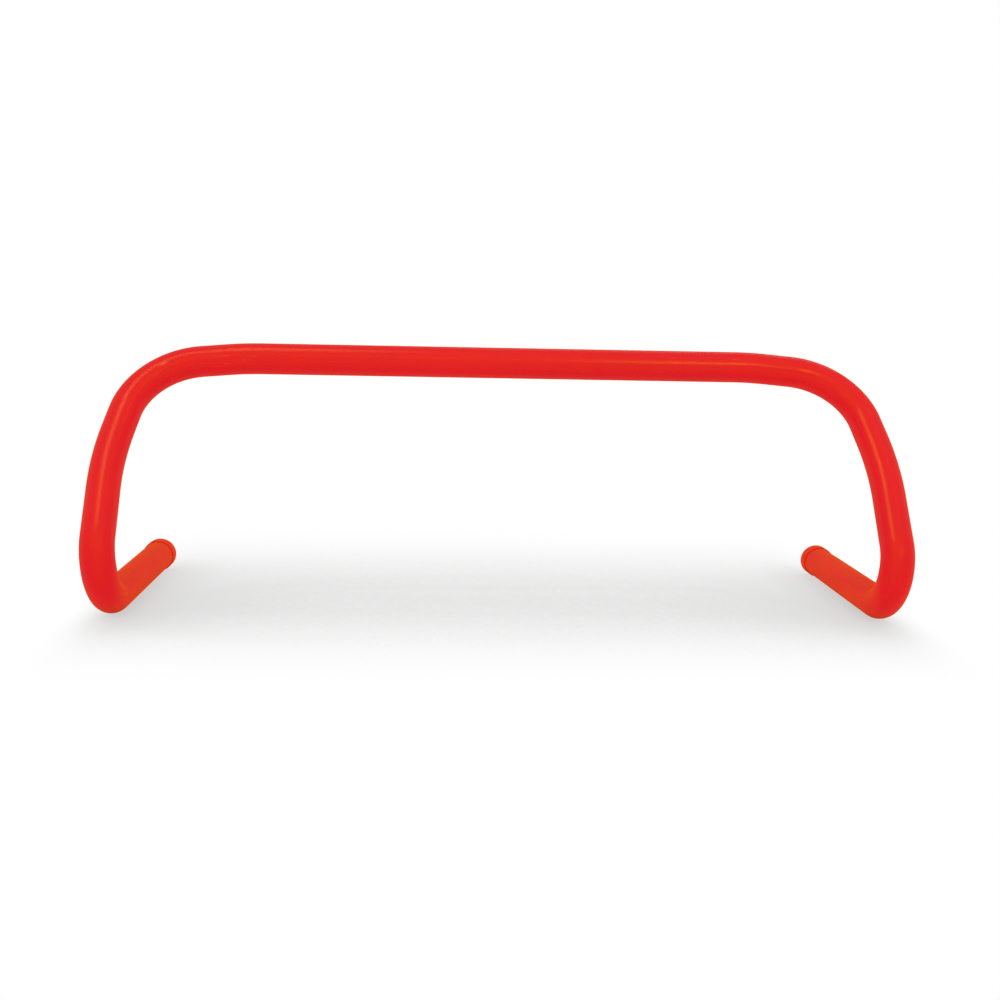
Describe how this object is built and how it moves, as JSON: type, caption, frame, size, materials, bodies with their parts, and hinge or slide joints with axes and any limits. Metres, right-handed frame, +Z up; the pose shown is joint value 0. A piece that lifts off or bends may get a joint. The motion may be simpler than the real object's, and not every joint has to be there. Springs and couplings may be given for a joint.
{
  "type": "speed hurdle",
  "caption": "Low speed hurdle of bent plastic tube: an arch leans back over feet that lie along the floor, with slip-on end caps. Runners step or jump over its bar.",
  "frame": {"origin": "on the floor, at the middle of the hurdle's footprint", "axes": "+X along the bar to the right as seen from the heels, +Y from the heels to the ends of the feet, +Z up"},
  "size_m": [0.6998, 0.2197, 0.224],
  "materials": {
    "tube_plastic": "gloss",
    "cap_vinyl": "satin"
  },
  "bodies": {
    "tube": {"hurdle_tube": "tube_plastic"},
    "left_cap": {"left_end_cap": "cap_vinyl"},
    "right_cap": {"right_end_cap": "cap_vinyl"}
  },
  "joints": [
    {"name": "left_cap_pull", "type": "slide", "parent": "tube", "child": "left_cap", "axis": [0, 1, 0.0053], "range_m": [0, 0.02]},
    {"name": "right_cap_pull", "type": "slide", "parent": "tube", "child": "right_cap", "axis": [0, 1, 0.0053], "range_m": [0, 0.02]}
  ]
}
